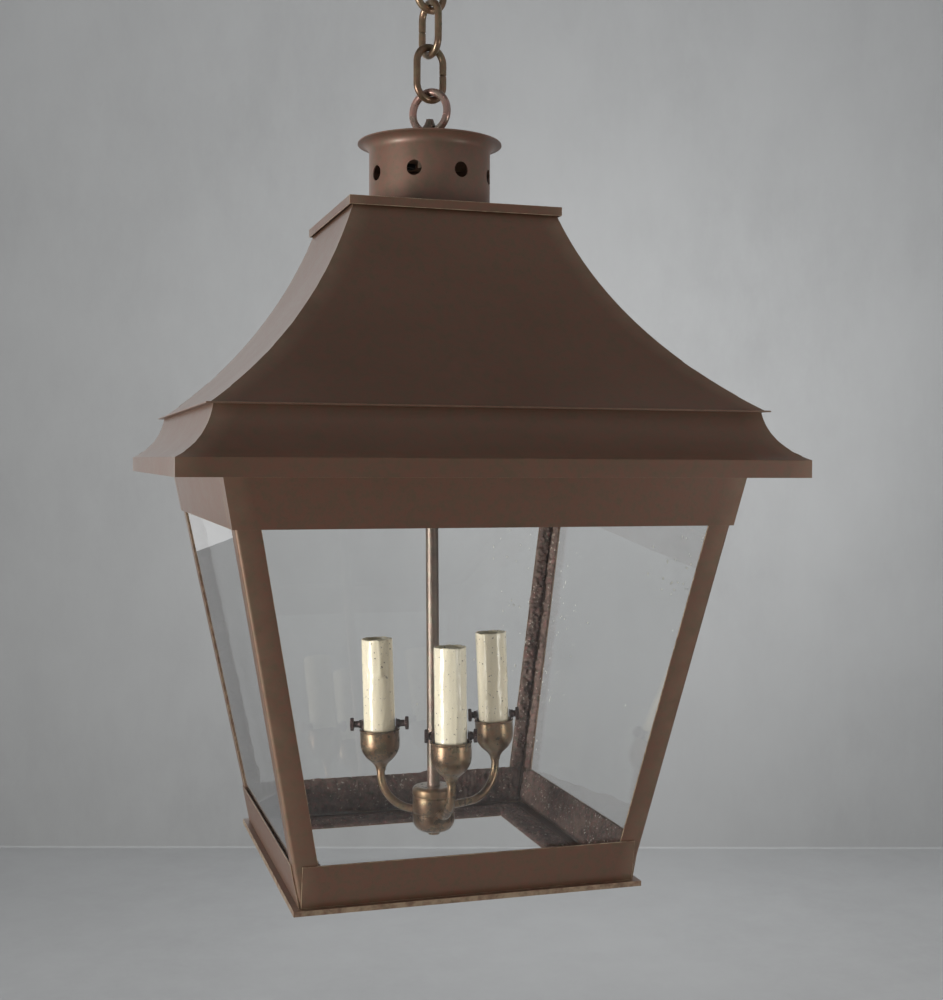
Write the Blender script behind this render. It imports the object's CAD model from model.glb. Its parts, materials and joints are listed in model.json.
"""Looks of the hanging lantern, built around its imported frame.

Lengths are in metres, Z is up, the hang point is the origin and the front pane faces -Y."""

import json
import math
import random

import bmesh
import bpy
from mathutils import Matrix, Vector, noise


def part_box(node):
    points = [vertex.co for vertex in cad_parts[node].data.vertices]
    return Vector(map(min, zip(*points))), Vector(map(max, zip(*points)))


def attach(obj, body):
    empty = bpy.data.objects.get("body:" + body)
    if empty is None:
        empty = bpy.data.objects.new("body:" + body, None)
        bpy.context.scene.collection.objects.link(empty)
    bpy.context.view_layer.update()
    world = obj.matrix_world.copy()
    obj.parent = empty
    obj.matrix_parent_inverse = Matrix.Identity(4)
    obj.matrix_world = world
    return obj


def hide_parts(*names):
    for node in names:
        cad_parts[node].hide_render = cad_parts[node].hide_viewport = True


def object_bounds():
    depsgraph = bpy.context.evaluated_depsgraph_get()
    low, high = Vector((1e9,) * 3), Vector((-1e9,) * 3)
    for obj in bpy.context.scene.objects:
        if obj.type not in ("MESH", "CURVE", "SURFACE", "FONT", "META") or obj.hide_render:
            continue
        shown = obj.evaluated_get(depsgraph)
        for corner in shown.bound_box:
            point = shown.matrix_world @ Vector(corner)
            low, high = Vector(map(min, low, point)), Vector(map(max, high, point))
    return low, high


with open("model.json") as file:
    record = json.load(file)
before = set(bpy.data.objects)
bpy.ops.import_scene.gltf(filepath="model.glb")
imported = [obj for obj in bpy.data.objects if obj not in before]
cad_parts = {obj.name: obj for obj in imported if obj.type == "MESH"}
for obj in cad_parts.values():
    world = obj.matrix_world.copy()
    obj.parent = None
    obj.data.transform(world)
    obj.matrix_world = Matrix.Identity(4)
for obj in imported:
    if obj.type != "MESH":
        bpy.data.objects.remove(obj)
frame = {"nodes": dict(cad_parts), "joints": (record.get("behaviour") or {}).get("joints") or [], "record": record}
CAD_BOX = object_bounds()
NODES = frame["nodes"]
RECORD = frame["record"]
SLOT_OF = {row["node"]: row["material_slot"] for row in RECORD["subparts"]}
BODY_OF = {n: b for b, nodes in RECORD["behaviour"]["bodies"].items() for n in nodes}
JOINTS = {j["name"]: j for j in frame["joints"]}
SIDES = ("front", "right", "back", "left")
MM = 0.001

# ---------- camera ----------

CAMERA_AT = (-0.2717, -1.0025)
CAMERA_ABOVE_BASE = 0.2948
CAMERA_YAW = 16.95
CAMERA_PITCH = -1.63
CAMERA_ROLL = 0.292
CAMERA_LENS = 50.03


def make_camera():
    data = bpy.data.cameras.new("camera")
    data.lens = CAMERA_LENS
    data.clip_start = 0.01
    data.clip_end = 30
    camera = bpy.data.objects.new("camera", data)
    yaw, pitch, roll = (math.radians(a) for a in (CAMERA_YAW, CAMERA_PITCH, CAMERA_ROLL))
    ahead = Vector((math.sin(yaw) * math.cos(pitch), math.cos(yaw) * math.cos(pitch), math.sin(pitch)))
    level = Vector((math.cos(yaw), -math.sin(yaw), 0))
    upright = level.cross(ahead)
    right = math.cos(roll) * level + math.sin(roll) * upright
    up = right.cross(ahead)
    turn = Matrix((right, up, -ahead)).transposed()
    at = Vector((*CAMERA_AT, CAD_BOX[0].z + CAMERA_ABOVE_BASE))
    camera.matrix_world = Matrix.Translation(at) @ turn.to_4x4()
    bpy.context.scene.collection.objects.link(camera)
    bpy.context.scene.camera = camera


# ---------- shader nodes ----------


class Shader:
    """A material's node tree, built by short calls."""

    def __init__(self, name):
        self.material = bpy.data.materials.new(name)
        self.material.use_nodes = True
        self.tree = self.material.node_tree
        self.tree.nodes.clear()
        self.coords = self.add("TexCoord").outputs["Object"]

    def add(self, kind, values=(), **settings):
        node = self.tree.nodes.new("ShaderNode" + kind)
        for key, value in settings.items():
            setattr(node, key, value)
        for key, value in dict(values).items():
            if isinstance(value, bpy.types.NodeSocket):
                self.tree.links.new(value, node.inputs[key])
            else:
                node.inputs[key].default_value = value
        return node

    def noise(self, scale, detail=4, rough=0.55, stretch=(1, 1, 1), shift=(0, 0, 0)):
        place = self.add("Mapping", {"Vector": self.coords, "Scale": stretch, "Location": shift})
        values = {"Vector": place.outputs[0], "Scale": scale, "Detail": detail, "Roughness": rough}
        return self.add("TexNoise", values).outputs["Fac"]

    def ramp(self, value, low, high, start=0.0, end=1.0):
        values = {"Value": value, "From Min": low, "From Max": high, "To Min": start, "To Max": end}
        return self.add("MapRange", values, clamp=True).outputs[0]

    def math(self, operation, a, b=0.5):
        return self.add("Math", {0: a, 1: b}, operation=operation).outputs[0]

    def mix(self, share, a, b, blend="MIX"):
        node = self.add("Mix", data_type="RGBA", blend_type=blend)
        for key, value in ((0, share), (6, a), (7, b)):
            if isinstance(value, bpy.types.NodeSocket):
                self.tree.links.new(value, node.inputs[key])
            elif key == 0:
                node.inputs[key].default_value = value
            else:
                node.inputs[key].default_value = (*value, 1)
        return node.outputs[2]

    def attribute(self, name):
        return self.add("Attribute", attribute_name=name).outputs["Fac"]

    def bump(self, height, strength, distance, normal=None):
        values = {"Height": height, "Strength": strength, "Distance": distance}
        if normal is not None:
            values["Normal"] = normal
        return self.add("Bump", values).outputs[0]

    def principled(self, **values):
        return self.add("BsdfPrincipled", {k.replace("_", " "): v for k, v in values.items()})

    def finish(self, shader):
        out = self.add("OutputMaterial")
        self.tree.links.new(shader.outputs[0], out.inputs[0])
        return self.material


def patina(name, dark, warm, rubbed, rough, coat, metal=0.35, wave=0.5, corners=0.0, blotch=0.0):
    """Old brass: a dark skin over warmer metal under old lacquer, rubbed bright along its edges
    and a little paler towards the lantern's corners."""
    s = Shader(name)
    cloud = s.noise(9, 3)
    mottle = s.noise(190, 4, 0.65)
    grain = s.noise(620, 3, 0.7)
    skin = s.mix(s.ramp(cloud, 0.35, 0.7), dark, warm)
    green = tuple(c * f for c, f in zip(dark, (0.72, 1.08, 0.92)))
    red = tuple(c * f for c, f in zip(warm, (1.18, 0.84, 0.84)))
    skin = s.mix(s.ramp(mottle, 0.46, 0.72, 0, 0.6), skin, red)
    skin = s.mix(s.ramp(mottle, 0.52, 0.3, 0, 0.6), skin, green)
    skin = s.mix(s.ramp(grain, 0.58, 0.75, 0, 0.3), skin, tuple(c * 0.5 for c in dark))
    stain = s.ramp(s.noise(55, 5, 0.7, shift=(5, 2, 7)), 0.46, 0.68, 0, blotch)
    skin = s.mix(stain, skin, tuple(c * f for c, f in zip(dark, (0.5, 0.38, 0.42))))
    spot = s.add("SeparateXYZ", {0: s.coords})
    off = s.math("ABSOLUTE", s.math("SUBTRACT", s.math("ABSOLUTE", spot.outputs[0]),
                                    s.math("ABSOLUTE", spot.outputs[1])))
    pale = s.math("MULTIPLY", s.ramp(off, 0.016, 0.0), s.ramp(s.noise(60, 3), 0.3, 0.7, 0.4, 1.0))
    patches = s.math("MULTIPLY", s.attribute("rub"), s.ramp(s.noise(160, 3), 0.35, 0.6, 0.15, 0.8))
    worn = s.math("MAXIMUM", patches, s.math("MULTIPLY", pale, corners))
    color = s.mix(worn, skin, rubbed)
    roughness = s.ramp(s.math("ADD", s.math("MULTIPLY", cloud, 0.5), s.math("MULTIPLY", mottle, 0.5)),
                       0.3, 0.7, rough - 0.06, rough + 0.07)
    bumped = s.bump(s.noise(7, 2), wave, 0.003)
    bumped = s.bump(s.noise(300, 4, 0.6), 0.12, 0.0005, bumped)
    return s.finish(s.principled(Base_Color=color, Metallic=metal, Roughness=roughness, Normal=bumped,
                                 Coat_Weight=coat, Coat_Roughness=0.3, Coat_IOR=1.5, Coat_Normal=bumped))


def clear_glass():
    """Old clear glass: a faint ripple, a trace of haze, and soft light passes straight through."""
    s = Shader("clear_glass")
    ripple = s.bump(s.noise(6, 1, 0.4), 0.08, 0.002)
    haze = s.ramp(s.noise(14, 4), 0.5, 0.8, 0.0, 0.03)
    pane = s.principled(Base_Color=(0.992, 0.996, 0.994, 1), Transmission_Weight=1.0, IOR=1.45,
                        Roughness=haze, Normal=ripple)
    through = s.add("BsdfTransparent", {"Color": (0.975, 0.985, 0.98, 1)})
    path = s.add("LightPath")
    lamp = s.math("MAXIMUM", path.outputs["Is Shadow Ray"], path.outputs["Is Diffuse Ray"])
    both = s.add("MixShader", {0: lamp, 1: pane.outputs[0], 2: through.outputs[0]})
    return s.finish(both)


def dull(name, color, other, rough, scale=60):
    """Dry putty, moulded black and woven covers: mottled, with a fine grain."""
    s = Shader(name)
    blot = s.noise(scale, 5, 0.65)
    tone = s.mix(s.ramp(blot, 0.35, 0.7), color, other)
    roughness = s.ramp(s.noise(scale * 3, 3), 0.3, 0.7, rough - 0.08, rough + 0.08)
    return s.finish(s.principled(Base_Color=tone, Roughness=roughness,
                                 Normal=s.bump(s.noise(scale * 6, 4, 0.7), 0.3, 0.0008)))


def old_putty():
    """Dry, dirty putty, tinted by the patina, with pale flecks of old paint in it."""
    s = Shader("old_putty")
    tone = s.mix(s.ramp(s.noise(110, 5, 0.7), 0.35, 0.68), (0.09, 0.06, 0.052), (0.21, 0.142, 0.12))
    tone = s.mix(s.ramp(s.noise(240, 3, 0.6), 0.52, 0.66, 0, 0.6), tone, (0.24, 0.09, 0.085))
    green = s.ramp(s.noise(270, 3, 0.6, shift=(3, 1, 2)), 0.54, 0.68, 0, 0.6)
    tone = s.mix(green, tone, (0.055, 0.075, 0.05))
    fleck = s.math("MULTIPLY", s.ramp(s.noise(480, 2), 0.63, 0.68), s.ramp(s.noise(60, 2), 0.38, 0.55))
    tone = s.mix(s.math("MULTIPLY", fleck, 0.8), tone, (0.6, 0.57, 0.5))
    return s.finish(s.principled(Base_Color=tone, Roughness=0.75, Specular_IOR_Level=0.25,
                                 Normal=s.bump(s.noise(700, 4, 0.7), 0.5, 0.001)))


def candle_cream():
    """Glossy cream plastic with specks of dirt and a little grime in its runs."""
    s = Shader("candle_cream")
    cloud = s.noise(45, 4, stretch=(1, 1, 0.3))
    tone = s.mix(s.ramp(cloud, 0.35, 0.7), (0.96, 0.865, 0.675), (0.94, 0.82, 0.62))
    speck = s.ramp(s.noise(420, 2, 0.5), 0.665, 0.71)
    tone = s.mix(s.math("MULTIPLY", speck, 0.8), tone, (0.12, 0.08, 0.05))
    grime = s.ramp(s.noise(120, 4, stretch=(1, 1, 0.25)), 0.6, 0.8, 0, 0.35)
    tone = s.mix(grime, tone, (0.5, 0.38, 0.22))
    skin = s.bump(s.noise(160, 3), 0.15, 0.0008)
    return s.finish(s.principled(Base_Color=tone, Roughness=0.22, Normal=skin,
                                 Subsurface_Weight=0.2, Subsurface_Scale=1.0,
                                 Subsurface_Radius=(0.003, 0.003, 0.0025),
                                 Coat_Weight=0.4, Coat_Roughness=0.08))


def pale_paint():
    s = Shader("pale_paint")
    tone = s.mix(s.ramp(s.noise(260, 3), 0.4, 0.65), (0.75, 0.74, 0.70), (0.52, 0.50, 0.45))
    return s.finish(s.principled(Base_Color=tone, Roughness=0.55,
                                 Normal=s.bump(s.noise(900, 3), 0.3, 0.0003)))


# ---------- room and light ----------

FLOOR_DROP = 0.48
WALL_AT = 1.72
WALL_BEND = 0.004
ROOM_TURN = -16.2
ROOM_HEIGHT = 3.2
ROOM_CORNERS = ((-1, -1), (1, -1), (1, 1), (-1, 1))


def cloth(name, color):
    """Painted canvas of a backdrop, with soft clouds in its tone."""
    s = Shader(name)
    fold = s.noise(2.2, 3)
    tone = s.mix(s.ramp(fold, 0.3, 0.7), tuple(c * 0.94 for c in color), tuple(c * 1.06 for c in color))
    weave = s.ramp(s.noise(14, 6, 0.75, stretch=(1, 1, 0.45)), 0.35, 0.65, 0, 0.5)
    tone = s.mix(weave, tone, tuple(c * 1.1 for c in color))
    return s.finish(s.principled(Base_Color=tone, Roughness=0.9, Normal=s.bump(fold, 0.25, 0.02)))


def make_room():
    """A plain pale floor that turns up into plain walls on all four sides, open at the top."""
    low = CAD_BOX[0].z - FLOOR_DROP
    steps = 8
    rows = []
    for k in range(steps + 1):
        a = math.pi / 2 * k / steps
        rows.append((WALL_AT - WALL_BEND + WALL_BEND * math.sin(a), WALL_BEND - WALL_BEND * math.cos(a)))
    rows.append((WALL_AT, ROOM_HEIGHT))
    mesh = bmesh.new()
    rings = []
    for out, up in rows:
        rings.append([mesh.verts.new((x * out, y * out, low + up)) for x, y in ROOM_CORNERS])
    mesh.faces.new(rings[0])
    for a, b in zip(rings, rings[1:]):
        bridge(mesh, a, b)
    mesh.transform(Matrix.Rotation(math.radians(ROOM_TURN), 4, "Z"))
    data = bpy.data.meshes.new("studio")
    mesh.to_mesh(data)
    mesh.free()
    room = bpy.data.objects.new("studio", data)
    data.materials.append(cloth("backdrop", (0.333, 0.34, 0.345)))
    bpy.context.scene.collection.objects.link(room)


def area_light(name, at, to, size, power, color=(1, 1, 1), glints=True):
    """A soft lamp that the camera can't see; without glints it isn't mirrored in the metal either."""
    data = bpy.data.lights.new(name, "AREA")
    data.shape = "RECTANGLE"
    data.size, data.size_y = size
    data.energy = power
    data.color = color
    lamp = bpy.data.objects.new(name, data)
    lamp.location = at
    lamp.rotation_euler = (Vector(to) - Vector(at)).to_track_quat("-Z", "Y").to_euler()
    lamp.visible_camera = False
    lamp.visible_transmission = False
    lamp.visible_glossy = glints
    bpy.context.scene.collection.objects.link(lamp)


def make_light():
    """Soft light from over the room, a window low on the left, two weaker lamps on the right, a pale
    screen behind and a wash over the backdrop on the right."""
    world = bpy.data.worlds.new("studio_air")
    world.use_nodes = True
    sky = world.node_tree.nodes["Background"]
    sky.inputs["Color"].default_value = (0.99, 0.99, 1.0, 1)
    sky.inputs["Strength"].default_value = 1.75
    world.cycles_visibility.glossy = False
    bpy.context.scene.world = world
    bpy.context.scene.view_settings.view_transform = "Standard"
    base = CAD_BOX[0].z
    aim = (0, 0, base + 0.15)
    area_light("key", (-1.43, -0.44, base + 0.05), aim, (0.35, 0.45), 22, (1.0, 0.97, 0.92))
    area_light("fill", (1.1, -1.2, base + 0.05), aim, (0.3, 0.3), 3.4, (1.0, 0.97, 0.92))
    area_light("bounce", (1.45, -0.15, base + 0.1), aim, (0.6, 0.6), 6.5, (1.0, 0.95, 0.9), False)
    area_light("screen", (-0.42, 1.4, base + 0.74), (0, 0, base + 0.74), (1.25, 1.3), 2.2)
    area_light("wash", (0.6, 0.75, base + 0.42), (0.8, 1.6, base + 0.3), (1.1, 0.5), 5.5, glints=False)


BRASSES = {
    "bronze_sheet": dict(dark=(0.128, 0.066, 0.041), warm=(0.142, 0.073, 0.045),
                         rubbed=(0.5, 0.39, 0.26), rough=0.45, coat=0.35, corners=0.16),
    "chimney_bronze": dict(dark=(0.155, 0.09, 0.064), warm=(0.185, 0.108, 0.077),
                           rubbed=(0.6, 0.45, 0.28), rough=0.5, coat=0.2),
    "chain_brass": dict(dark=(0.2, 0.14, 0.085), warm=(0.27, 0.18, 0.11),
                        rubbed=(0.7, 0.55, 0.38), rough=0.3, coat=0.4, metal=0.7, wave=0.1, blotch=0.6),
    "ring_brass": dict(dark=(0.36, 0.25, 0.21), warm=(0.46, 0.3, 0.25),
                       rubbed=(0.8, 0.68, 0.5), rough=0.26, coat=0.5, metal=0.7, wave=0.1, blotch=0.35),
    "stem_brass": dict(dark=(0.13, 0.1, 0.078), warm=(0.16, 0.115, 0.088),
                       rubbed=(0.7, 0.52, 0.32), rough=0.4, coat=0.3, metal=0.5, wave=0.1, blotch=0.5),
    "cluster_brass": dict(dark=(0.195, 0.13, 0.075), warm=(0.27, 0.175, 0.092),
                          rubbed=(0.75, 0.55, 0.3), rough=0.27, coat=0.5, metal=0.75, wave=0.15,
                          blotch=0.75),
    "dark_brass": dict(dark=(0.05, 0.03, 0.03), warm=(0.075, 0.045, 0.04),
                       rubbed=(0.5, 0.38, 0.25), rough=0.4, coat=0.4, metal=0.6, wave=0.1),
}
FINISHES = {name: patina(name, **look) for name, look in BRASSES.items()}
FINISHES["old_putty"] = old_putty()
FINISHES["pale_paint"] = pale_paint()
FINISHES["clear_glass"] = clear_glass()
FINISHES["candle_cream"] = candle_cream()
FINISHES["socket_black"] = dull("socket_black", (0.02, 0.02, 0.02), (0.035, 0.033, 0.03), 0.45)
FINISHES["bushing_black"] = dull("bushing_black", (0.02, 0.02, 0.02), (0.04, 0.037, 0.033), 0.5)
FINISHES["lead_insulation"] = dull("lead_insulation", (0.02, 0.018, 0.016), (0.05, 0.04, 0.035), 0.8, 300)


def finish_nodes():
    for node, slot in SLOT_OF.items():
        data = NODES[node].data
        data.materials.clear()
        data.materials.append(FINISHES[slot])


# ---------- mesh helpers ----------


def add_piece(name, mesh, body, slot, stands_for=(), sharp=40, finish=None):
    """A bmesh becomes a smooth-shaded piece, with its edges over sharp degrees kept crisp. Its look
    is its slot's finish unless another is named."""
    bmesh.ops.recalc_face_normals(mesh, faces=mesh.faces)
    for face in mesh.faces:
        face.smooth = True
    for edge in mesh.edges:
        edge.smooth = len(edge.link_faces) != 2 or edge.calc_face_angle(0) < math.radians(sharp)
    data = bpy.data.meshes.new(name)
    mesh.to_mesh(data)
    mesh.free()
    data.materials.append(FINISHES[finish or slot])
    piece = bpy.data.objects.new(name, data)
    bpy.context.scene.collection.objects.link(piece)
    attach(piece, body)
    if stands_for:
        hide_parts(*stands_for)
    return piece


def ring_of(mesh, centre, side, up, radius, count):
    """Vertices on a circle across a path."""
    turns = [2 * math.pi * k / count for k in range(count)]
    return [mesh.verts.new(centre + radius * (math.cos(a) * side + math.sin(a) * up)) for a in turns]


def bridge(mesh, a, b):
    """Faces between two rings of as many vertices."""
    for k in range(len(a)):
        mesh.faces.new((a[k], a[(k + 1) % len(a)], b[(k + 1) % len(b)], b[k]))


def tube(mesh, points, radii, count=20):
    """A round bar along points, with its radius at each."""
    last = len(points) - 1
    side = None
    rings = []
    for k, point in enumerate(points):
        along = (points[min(k + 1, last)] - points[max(k - 1, 0)]).normalized()
        if side is None:
            side = along.orthogonal().normalized()
        side = (side - side.dot(along) * along).normalized()
        rings.append(ring_of(mesh, point, side, along.cross(side), radii[k], count))
    for a, b in zip(rings, rings[1:]):
        bridge(mesh, a, b)
    mesh.faces.new(rings[0])
    mesh.faces.new(rings[-1])


def lathe(mesh, profile, place, count=72, shape=None):
    """A closed outline of (radius, height) turned about the local Z axis and put in place.
    shape(radius, height, angle) gives each point's own radius and height."""
    rings = []
    for radius, height in profile:
        ring = []
        for k in range(count):
            a = 2 * math.pi * k / count
            r, z = shape(radius, height, a) if shape else (radius, height)
            ring.append(mesh.verts.new(place @ Vector((r * math.cos(a), r * math.sin(a), z))))
        rings.append(ring)
    for a, b in zip(rings, rings[1:] + rings[:1]):
        bridge(mesh, a, b)


def arc_outline(centre, radius, start, end, steps):
    turns = [math.radians(start + (end - start) * k / steps) for k in range(steps + 1)]
    return [(centre[0] + radius * math.cos(a), centre[1] + radius * math.sin(a)) for a in turns]


def rounded(profile, radius, steps=3, closed=True):
    """An outline with each corner rounded by up to radius. An open one keeps its two ends."""
    out = []
    count = len(profile)
    for k, corner in enumerate(profile):
        here = Vector(corner)
        if not closed and k in (0, count - 1):
            out.append(tuple(here))
            continue
        before, after = Vector(profile[k - 1]), Vector(profile[(k + 1) % count])
        cut = min(radius, 0.45 * (before - here).length, 0.45 * (after - here).length)
        start = here + (before - here).normalized() * cut
        end = here + (after - here).normalized() * cut
        for s in range(steps + 1):
            t = s / steps
            out.append(tuple((1 - t) ** 2 * start + 2 * t * (1 - t) * here + t * t * end))
    return out


def waver(*parts):
    """Smooth noise from about -1 to 1."""
    return noise.noise(Vector(parts))


# ---------- sheet metal ----------

SHEETS = (
    ["base_plate", "roof_cap"]
    + [f"{part}_{side}" for part in ("bottom_rail", "frieze", "hood_panel", "roof_panel") for side in SIDES]
    + [f"corner_post_{k}" for k in (1, 2, 3, 4)]
)
EDGE_W = 0.28 * MM
FASCIA_BEND_W = 5.5 * MM
CREASE = math.radians(30)
ROOF_WEAR = 0.2
PLATE_WEAR = 0.6


def soften_fascia(mesh):
    """The hood's sheet turns into its fascia over a soft bend, not a crease."""
    reach = max(max(abs(v.co.x), abs(v.co.y)) for v in mesh.verts)
    outer = reach - 0.3 * MM
    crest = max(v.co.z for v in mesh.verts if max(abs(v.co.x), abs(v.co.y)) > outer)

    def on_crest(v):
        return abs(v.co.z - crest) < 0.05 * MM and max(abs(v.co.x), abs(v.co.y)) > outer

    bends = [e for e in mesh.edges if all(on_crest(v) for v in e.verts) and e.calc_length() > 20 * MM]
    bmesh.ops.bevel(mesh, geom=bends, offset=FASCIA_BEND_W, offset_type="OFFSET", segments=5,
                    profile=0.5, affect="EDGES", clamp_overlap=True)


def rub_plate_edge(mesh, rub):
    """The base plate's turned-down edge is rubbed all over."""
    outside = max(abs(v.co.x) for v in mesh.verts) - 1 * MM
    for face in mesh.faces:
        middle = face.calc_center_median()
        if abs(face.normal.z) < 0.3 and max(abs(middle.x), abs(middle.y)) > outside:
            face[rub] = PLATE_WEAR


def make_sheet(node, wear):
    """The CAD node's own shape with small rounded edges, as folded and filed sheet has."""
    mesh = bmesh.new()
    mesh.from_mesh(NODES[node].data)
    bmesh.ops.remove_doubles(mesh, verts=mesh.verts, dist=2e-6)
    bmesh.ops.dissolve_limit(mesh, angle_limit=math.radians(0.4), verts=mesh.verts, edges=mesh.edges)
    rub = mesh.faces.layers.float.new("rub")
    if node.startswith("hood_panel"):
        soften_fascia(mesh)
    edges = [e for e in mesh.edges if len(e.link_faces) == 2 and e.calc_face_angle(0) > CREASE]
    made = bmesh.ops.bevel(mesh, geom=edges, offset=EDGE_W, offset_type="OFFSET", segments=2, profile=0.6,
                           affect="EDGES", clamp_overlap=True)
    for face in made["faces"]:
        face[rub] = wear
    if node == "base_plate":
        rub_plate_edge(mesh, rub)
    piece = add_piece(node + "_sheet", mesh, BODY_OF[node], SLOT_OF[node], [node])
    weighted = piece.modifiers.new("even_shading", "WEIGHTED_NORMAL")
    weighted.keep_sharp = True


# ---------- the lights ----------

# One of each light's two thumbscrews, and the seed of its sleeve. Heights run up the candle's axis
# from its lamp mount.
SCREW_OF = {"front": "screw_2", "right": "screw_4", "left": "screw_6"}
SLEEVE_SEED = {"front": 1.3, "right": 5.1, "left": 9.7}
MOUNT_ABOVE_RIM = 53.7 * MM
CUP_R, CUP_H, CUP_WALL = 15 * MM, 28 * MM, 1.1 * MM
SLEEVE_R, SLEEVE_BORE = 11.7 * MM, 10.4 * MM
SLEEVE_FOOT, SLEEVE_TOP = -68.1 * MM, 14.9 * MM


def light_place(light):
    """Local Z runs up the candle from its lamp mount and local X along its thumbscrews."""
    mount = next(m for m in RECORD["mounts"] if m["name"] == "lamp_" + light)
    up = Vector(mount["axis"]).normalized()
    across = Vector(JOINTS[SCREW_OF[light] + "_turn"]["axis"])
    across = (across - across.dot(up) * up).normalized()
    turn = Matrix((across, up.cross(across), up)).transposed().to_4x4()
    return Matrix.Translation(mount["pos_m"]) @ turn


# A cup's side from its arm up: radius and height above its foot, in millimetres.
CUP_SIDE = ((3.6, -3.5), (3.7, -2.4), (4.1, -0.8), (5.0, 1.0), (6.5, 2.8), (8.6, 4.5), (11.0, 6.8),
            (13.1, 9.9), (14.4, 13.0), (14.95, 16.5), (14.95, 20.0), (14.8, 24.0), (14.7, 26.0))


def make_cup(light):
    """A spun cup, full in the middle and drawn in to its arm, with a rolled rim."""
    foot = -MOUNT_ABOVE_RIM - CUP_H
    rim = foot + CUP_H
    outer = [(r * MM, foot + z * MM) for r, z in CUP_SIDE]
    outer += arc_outline((CUP_R - 0.45 * MM, rim - 0.75 * MM), 0.75 * MM, -60, 150, 8)
    inner = [(r * MM - CUP_WALL, foot + (z + 0.4) * MM) for r, z in reversed(CUP_SIDE[5:])]
    inner += [(3.3 * MM, foot + 4.6 * MM), (3.3 * MM, foot - 3.4 * MM)]
    mesh = bmesh.new()
    lathe(mesh, rounded(outer, 1 * MM, 2, False) + inner, light_place(light), 80)
    add_piece("candle_cup_spun_" + light, mesh, "lantern", "cluster_brass", ["candle_cup_" + light])


# Each sleeve's runs of wax: angle, share of the sleeve's length, thickness (mm), width (radians).
DRIPS = {
    "left": ((0.6, 0.55, 0.30, 0.16), (2.2, 0.7, 0.25, 0.2), (3.5, 0.85, 0.3, 0.2), (4.9, 0.35, 0.35, 0.13),
             (5.6, 0.8, 0.28, 0.18)),
    "front": ((5.08, 0.97, 0.34, 0.10), (5.42, 0.93, 0.30, 0.09), (1.1, 0.6, 0.3, 0.2),
              (2.4, 0.9, 0.3, 0.16), (3.6, 0.45, 0.3, 0.2)),
    "right": ((0.2, 0.5, 0.42, 0.2), (5.75, 0.42, 0.42, 0.16), (1.4, 0.75, 0.3, 0.2), (2.9, 0.5, 0.3, 0.18),
              (4.3, 0.62, 0.24, 0.14)),
}


def make_sleeve(light):
    """A candle sleeve moulded like wax: runs down its sides and an uneven top."""
    length = SLEEVE_TOP - SLEEVE_FOOT
    seed = SLEEVE_SEED[light]

    def skin(radius, height, a):
        up = (height - SLEEVE_FOOT) / length
        if radius < 0.9 * SLEEVE_R:
            dip = (0.35 + 0.35 * waver(2 * math.cos(a), 2 * math.sin(a), seed)) * MM
            return radius, height - dip * (up > 0.98)
        swell = 0.22 * waver(1.6 * math.cos(a), 1.6 * math.sin(a), seed + 3.5 * up)
        swell += 0.16 * waver(6 * math.cos(a), 6 * math.sin(a), seed + 16 * up)
        for at, run, thick, wide in DRIPS[light]:
            off = (a - at - 0.05 * math.sin(5 * up + at) + math.pi) % (2 * math.pi) - math.pi
            end = 1 - run
            bead = math.exp(-((up - end - 0.03) / 0.03) ** 2)
            width = wide * (1 + 0.5 * bead)
            reach = min(1, max(0, (up - end) / 0.025))
            swell += 1.7 * thick * (0.7 + 0.5 * bead) * reach * math.exp(-(off / width) ** 2)
        swell = min(swell, 0.45 if up < 0.34 else 1.0)
        top = 0.0
        if up > 0.985:
            top = 0.5 * waver(2.2 * math.cos(a), 2.2 * math.sin(a), seed + 7)
            top += 0.5 * waver(7 * math.cos(a), 7 * math.sin(a), seed + 9) - 0.3
        return radius + swell * MM, height + min(0, top) * MM

    rows = 72
    outer = [(SLEEVE_R, SLEEVE_FOOT + length * k / rows) for k in range(rows)]
    outer += [(SLEEVE_R - 0.05 * MM, SLEEVE_TOP - 0.5 * MM), (SLEEVE_R - 0.35 * MM, SLEEVE_TOP - 0.1 * MM)]
    inner = [(SLEEVE_BORE + 0.3 * MM, SLEEVE_TOP - 0.1 * MM), (SLEEVE_BORE, SLEEVE_TOP - 0.5 * MM),
             (SLEEVE_BORE, SLEEVE_TOP - 8 * MM), (SLEEVE_BORE, SLEEVE_FOOT)]
    mesh = bmesh.new()
    lathe(mesh, outer + inner, light_place(light), 112, skin)
    add_piece("candle_sleeve_waxed_" + light, mesh, "lantern", "candle_cream",
              ["candle_sleeve_" + light], 60)


SHANK_R, COLLAR_R, NECK_R, HEAD_R, DISH_R = 1.75 * MM, 3.2 * MM, 2.4 * MM, 4.9 * MM, 2.2 * MM
ON_AXIS = 0.05 * MM


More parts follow.
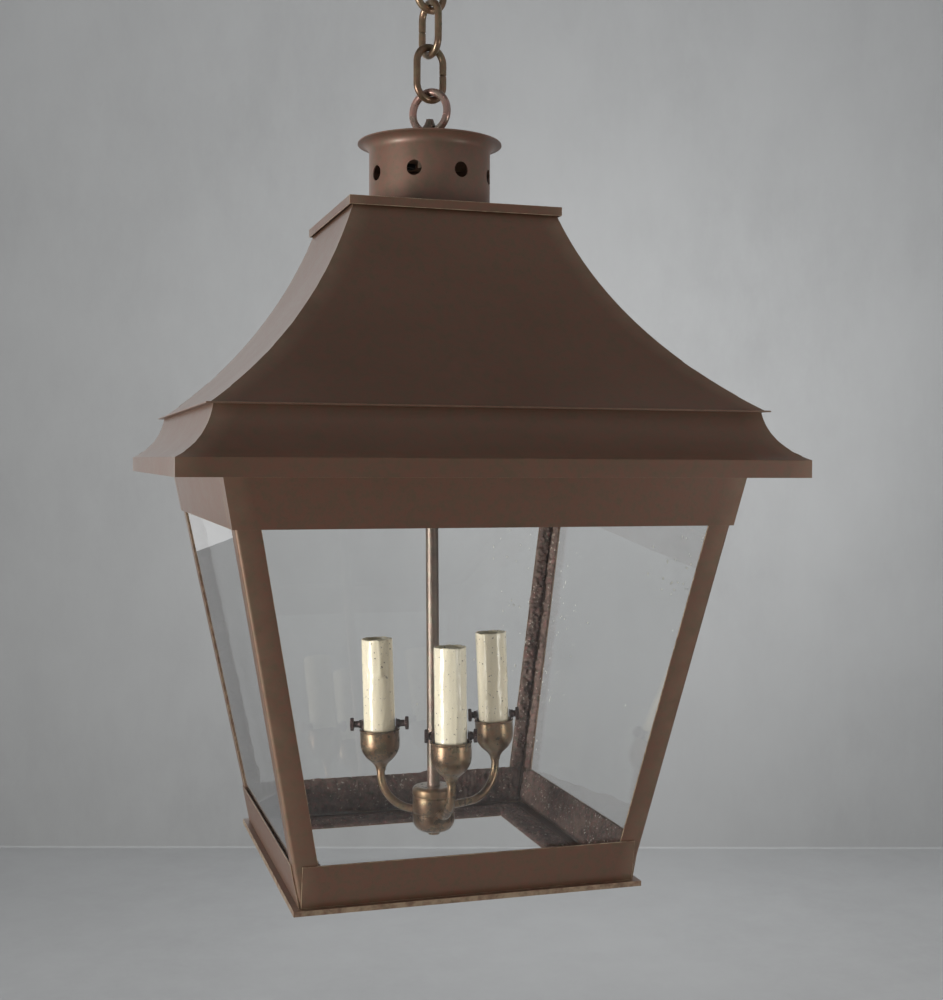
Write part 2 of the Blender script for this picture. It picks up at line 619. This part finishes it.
def make_screw(name):
    """A brass thumbscrew: plain shank, collar, waisted neck and a knurled, dished head."""
    joint = JOINTS[name + "_turn"]
    node = "thumb" + name
    axis = Vector(joint["axis"]).normalized()
    spot = Vector(joint["pos_m"])
    reach = max((v.co - spot).dot(axis) for v in NODES[node].data.vertices)
    start = min((v.co - spot).dot(axis) for v in NODES[node].data.vertices)
    collar = -0.1 * MM
    turn = axis.to_track_quat("Z", "Y").to_matrix().to_4x4()
    outline = [(ON_AXIS, start), (SHANK_R, start), (SHANK_R, collar), (COLLAR_R, collar),
               (COLLAR_R, collar + 1.7 * MM), (2.6 * MM, collar + 2.1 * MM), (NECK_R, reach - 3.0 * MM),
               (HEAD_R, reach - 2.5 * MM), (HEAD_R, reach - 0.2 * MM), (4.4 * MM, reach),
               (DISH_R, reach - 0.35 * MM), (ON_AXIS, reach - 0.35 * MM)]

    def knurl(radius, height, a):
        if radius > 4.4 * MM:
            radius -= 0.35 * MM * (0.5 + 0.5 * math.cos(20 * a))
        return radius, height

    mesh = bmesh.new()
    lathe(mesh, rounded(outline, 0.25 * MM), Matrix.Translation(spot) @ turn, 80, knurl)
    add_piece(node + "_knurled", mesh, name, "dark_brass", [node])


# ---------- hub ----------


HUB_R, HUB_FOOT_R = 15.8 * MM, 9 * MM


def make_hub():
    """A turned hub with two grooves, a soft foot and a stepped top, in line with the stem."""
    low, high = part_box("hub")
    r = HUB_R
    foot, top = low.z, high.z - 0.1 * MM
    outline = [(ON_AXIS, foot)] + arc_outline((r - HUB_FOOT_R, foot + HUB_FOOT_R), HUB_FOOT_R, -88, 0, 12)
    outline += [(r, foot + 13 * MM), (r - 0.7 * MM, foot + 13.6 * MM),
                (r - 0.7 * MM, foot + 14.6 * MM), (r, foot + 15.2 * MM)]
    outline += [(r, top - 8.2 * MM), (r - 0.6 * MM, top - 7.7 * MM),
                (r - 0.6 * MM, top - 6.9 * MM), (r + 0.1 * MM, top - 6.4 * MM)]
    outline += [(r + 0.1 * MM, top - 2.2 * MM), (r - 1.2 * MM, top - 0.6 * MM), (r - 3 * MM, top),
                (6.5 * MM, top), (5.6 * MM, top + 0.1 * MM), (ON_AXIS, top + 0.1 * MM)]
    _, stem_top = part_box("stem")
    middle = (low + high) / 2
    lean = Vector((0, 0, stem_top.z)) - middle
    turn = lean.to_track_quat("Z", "Y").to_matrix().to_4x4()
    place = Matrix.Translation(middle) @ turn @ Matrix.Translation((0, 0, -middle.z))
    mesh = bmesh.new()
    lathe(mesh, rounded(outline, 0.3 * MM), place, 96)
    add_piece("hub_turned", mesh, "lantern", "cluster_brass", ["hub"])


# ---------- chain ----------

WIRE_R, LINK_HALF_W = 2.75 * MM, 14 * MM
# The side on which each link's cut is, and the joint whose axis lies in its plane.
CUT_SIDE = {"chain_link_1": 1, "chain_link_2": -1, "chain_link_3": 1}
LINK_AXIS = {"chain_link_1": "ring_swing", "chain_link_2": "link_1_swing", "chain_link_3": "link_2_swing"}


def make_link(node):
    """A straight-sided link bent from brass rod, its two ends meeting in a cut halfway up one leg."""
    low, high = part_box(node)
    middle = (low + high) / 2
    across = Vector(JOINTS[LINK_AXIS[node]]["axis"])
    bend = LINK_HALF_W - WIRE_R
    leg = (high.z - low.z) / 2 - WIRE_R - bend
    flat = [(bend, 0.14 * MM), (bend, 0.7 * MM), (bend, 0.5 * leg)]
    flat += arc_outline((0, leg), bend, 0, 180, 30)
    flat += [(-bend, 0.5 * leg), (-bend, 0.0), (-bend, -0.5 * leg)]
    flat += arc_outline((0, -leg), bend, 180, 360, 30)
    flat += [(bend, -0.5 * leg), (bend, -0.7 * MM), (bend, -0.14 * MM)]
    points = [middle + CUT_SIDE[node] * x * across + Vector((0, 0, z)) for x, z in flat]
    radii = [WIRE_R * (1 - 0.014 * (1 + waver(150 * x, 150 * z, low.z * 50))) for x, z in flat]
    radii[0] *= 0.82
    radii[-1] *= 0.84
    mesh = bmesh.new()
    tube(mesh, points, radii, 28)
    add_piece(node + "_bent", mesh, BODY_OF[node], "chain_brass", [node])


# ---------- putty ----------

# The post frame: half its width at the foot, its lean, the plate under it and the rails round it.
FOOT_HALF, SHOULDER_HALF, GLAZED_H = 116.2 * MM, 164.9 * MM, 249 * MM
FLARE = math.atan((SHOULDER_HALF - FOOT_HALF) / GLAZED_H)
BASE_H, RAIL_H = 3.6 * MM, 28.9 * MM
RAIL_L = RAIL_H / math.cos(FLARE)
PANE_BACK, PANE_EDGE = -3.4 * MM, 5 * MM
PANE_HALF = FOOT_HALF - PANE_EDGE
BED_HALF = 107 * MM


def face_place(i):
    """Local X runs along face i, local Y up its slope and local Z out of it."""
    turn = Matrix.Rotation(math.radians(90 * i), 4, "Z")
    base = Matrix.Translation((0, -FOOT_HALF, CAD_BOX[0].z + BASE_H))
    return turn @ base @ Matrix.Rotation(math.pi / 2 + FLARE, 4, "X")


def crust(mesh, place, length, edges, thick, seed, across=12):
    """Dried putty along a line: place turns (along, across, height) into a point, and edges gives
    its two edges at a distance along."""
    count = int(length / MM)
    top, under = [], []
    for k in range(count + 1):
        u = length * k / count
        lo, hi = edges(u)
        row = []
        for n in range(across + 1):
            t = n / across
            v = lo + (hi - lo) * t
            rim = min(1.0, 5 * min(t, 1 - t)) ** 0.6
            lump = 0.8 + 0.6 * waver(u * 140, v * 140, seed) + 0.9 * waver(u * 420, v * 420, seed + 5)
            row.append(mesh.verts.new(place(u, v, thick * (0.12 + 0.88 * rim) * max(0.25, lump))))
        top.append(row)
        under.append((mesh.verts.new(place(u, lo, 0)), mesh.verts.new(place(u, hi, 0))))
    for k in range(count):
        a, b = top[k], top[k + 1]
        for n in range(across):
            mesh.faces.new((a[n], a[n + 1], b[n + 1], b[n]))
        mesh.faces.new((under[k][0], under[k + 1][0], under[k + 1][1], under[k][1]))
        mesh.faces.new((under[k][0], a[0], b[0], under[k + 1][0]))
        mesh.faces.new((under[k][1], under[k + 1][1], b[-1], a[-1]))
    for k in (0, count):
        mesh.faces.new([under[k][0], *top[k], under[k][1]])


def ragged(u, seed, small, tears):
    """How far a torn edge stands out at u: a fine waver and a few deeper tears."""
    fine = waver(u * 90, seed, 1.0) + 0.6 * waver(u * 300, seed, 7.0) + 0.4 * waver(u * 800, seed, 3.0)
    tear = max(0, waver(u * 45, seed, 11.0) - 0.25)
    return small * fine + tears * tear


def rail_putty(mesh, i):
    """The bed along the foot of pane i, torn where it runs past the rail."""
    place = face_place(i)

    def spot(u, v, h):
        return place @ Vector((u - PANE_HALF, v, PANE_BACK - h))

    def edges(u):
        if i == 0:
            return 2.2 * MM, RAIL_L - 2.6 * MM + ragged(u, 3.1, 0.5 * MM, 0.5 * MM)
        return 2.2 * MM, RAIL_L + ragged(u, 3.1 + i, 1.1 * MM, 4.0 * MM)

    crust(mesh, spot, 2 * PANE_HALF, edges, 2.2 * MM, 2.0 + i)


def post_putty(mesh, i, hand):
    """The bed up the left (-1) or right (1) edge of pane i."""
    place = face_place(i)
    slope = math.sin(FLARE)
    wide, fine, tears = (9.2 * MM, 0.4 * MM, 1.0 * MM) if i == 0 else (11.2 * MM, 1.2 * MM, 3.5 * MM)

    def spot(u, v, h):
        return place @ Vector((hand * (PANE_HALF + (RAIL_L + u) * slope - v), RAIL_L + u, PANE_BACK - h))

    def edges(u):
        return 0.2 * MM, wide + ragged(u, 20.0 + 3 * i + hand, fine, tears)

    crust(mesh, spot, 238 * MM, edges, 2.2 * MM, 30.0 + 3 * i + hand, across=9)


def plate_putty(mesh, i, opening):
    """Drips on top of the base plate and over the lip of its opening, along side i."""
    turn = Matrix.Rotation(math.radians(90 * i), 4, "Z")
    plate_top = CAD_BOX[0].z + BASE_H

    def on_top(u, v, h):
        return turn @ Vector((u - BED_HALF, -BED_HALF + v, plate_top + h))

    def top_edges(u):
        corner = max(0.0, min(1.0, (BED_HALF - abs(u - BED_HALF)) / (20 * MM)))
        torn = 1.6 * MM + ragged(u, 50.0 + i, 1.3 * MM, 3.0 * MM)
        return 0.0, BED_HALF - opening + corner * torn

    def on_lip(u, v, h):
        return turn @ Vector((u - opening, -opening + h, plate_top + 0.4 * MM - v))

    def lip_edges(u):
        return 0.0, min(3.9 * MM, 3.1 * MM + ragged(u, 80.0 + i, 1.0 * MM, 0))

    crust(mesh, on_top, 2 * BED_HALF, top_edges, 2.0 * MM, 60.0 + i)
    crust(mesh, on_lip, 2 * opening, lip_edges, 1.3 * MM, 90.0 + i, across=4)


def make_putty(i):
    """All the putty of side i. The front one stands for the whole CAD node."""
    opening = min(max(abs(v.co.x), abs(v.co.y)) for v in NODES["base_plate"].data.vertices)
    mesh = bmesh.new()
    rail_putty(mesh, i)
    for hand in (-1, 1):
        post_putty(mesh, i, hand)
    plate_putty(mesh, i, opening)
    stands_for = ["glazing_putty"] if i == 0 else ()
    add_piece("old_putty_" + SIDES[i], mesh, "lantern", "old_putty", stands_for, 70)


# Where the flecks are: side, how many, and their ranges along the pane and up its slope (mm).
FLECKS = ((0, 26, (118, 152), (205, 246)), (0, 8, (-100, 140), (40, 240)), (1, 12, (60, 130), (60, 220)),
          (2, 40, (-140, -96), (40, 240)), (1, 30, (96, 140), (40, 240)), (3, 8, (-100, 100), (60, 220)))
FLECK_SIDES = 9


def make_fleck(mesh, rng, place, spots, heights):
    """A low lump of old paint on the inside of a pane."""
    s = rng.uniform(*heights) * MM
    x = rng.uniform(*spots) * MM
    limit = PANE_HALF + s * math.sin(FLARE) - 1 * MM
    x = max(-limit, min(limit, x))
    wide, tall = rng.uniform(0.25, 0.7) * MM, rng.uniform(0.4, 1.7) * MM
    if rng.random() < 0.7:
        tall = min(tall, 0.8 * MM)
    centre = place @ Vector((x, s, PANE_BACK - 0.02 * MM))
    axes = [place.to_3x3() @ Vector(v) for v in ((1, 0, 0), (0, 1, 0), (0, 0, -1))]
    bumpy = rng.uniform(0, 50)
    top = mesh.verts.new(centre + axes[2] * 0.22 * MM)
    rings = []
    for share, height in ((0.6, 0.16), (1.0, 0.0)):
        ring = []
        for k in range(FLECK_SIDES):
            a = 2 * math.pi * k / FLECK_SIDES
            r = share * (1 + 0.45 * waver(math.cos(a) * 1.5, math.sin(a) * 1.5, bumpy))
            ring.append(mesh.verts.new(centre + axes[0] * wide * r * math.cos(a)
                                       + axes[1] * tall * r * math.sin(a) + axes[2] * height * MM))
        rings.append(ring)
    for k in range(FLECK_SIDES):
        mesh.faces.new((top, rings[0][k], rings[0][(k + 1) % FLECK_SIDES]))
    bridge(mesh, rings[0], rings[1])
    mesh.faces.new(rings[1])


def make_flecks():
    """Flecks of old paint on the panes, thickest at the front pane's top right corner."""
    rng = random.Random(11)
    mesh = bmesh.new()
    for i, count, spots, heights in FLECKS:
        for _ in range(count):
            make_fleck(mesh, rng, face_place(i), spots, heights)
    add_piece("pane_flecks", mesh, "lantern", "old_putty", sharp=80, finish="pale_paint")


# ---------- solder ----------


def hip_line(node, hand):
    """Outer hip of a roof or hood panel, from its foot up."""
    best = {}
    for vertex in NODES[node].data.vertices:
        x, y, z = vertex.co
        if hand * x > 0 and abs(abs(x) - abs(y)) < 0.02 * MM:
            key = round(z / (1.5 * MM))
            if key not in best or abs(x) > abs(best[key].x):
                best[key] = vertex.co.copy()
    return [best[k] for k in sorted(best)]


def make_solder():
    """A thin seam of solder up each hip, sunk a little into the joint."""
    sunk = 0.35 * MM
    mesh = bmesh.new()
    for node in ("roof_panel_front", "roof_panel_back", "hood_panel_front", "hood_panel_back"):
        for hand in (-1, 1):
            line = hip_line(node, hand)[3:]
            points = [p - Vector((math.copysign(sunk, p.x), math.copysign(sunk, p.y), 0)) for p in line]
            radii = [0.42 * MM * (1 + 0.25 * waver(p.z * 150, hand, 1.0)) for p in points]
            tube(mesh, points, radii, 8)
    add_piece("hip_solder", mesh, "lantern", "bronze_sheet", (), 70)


# ---------- build ----------

make_camera()
make_room()
make_light()
finish_nodes()
for node in SHEETS:
    make_sheet(node, ROOF_WEAR if node.startswith("roof_panel") else 1.0)
for light in SLEEVE_SEED:
    make_cup(light)
    make_sleeve(light)
for number in range(1, 7):
    make_screw(f"screw_{number}")
make_hub()
for node in CUT_SIDE:
    make_link(node)
for side in range(4):
    make_putty(side)
make_flecks()
make_solder()
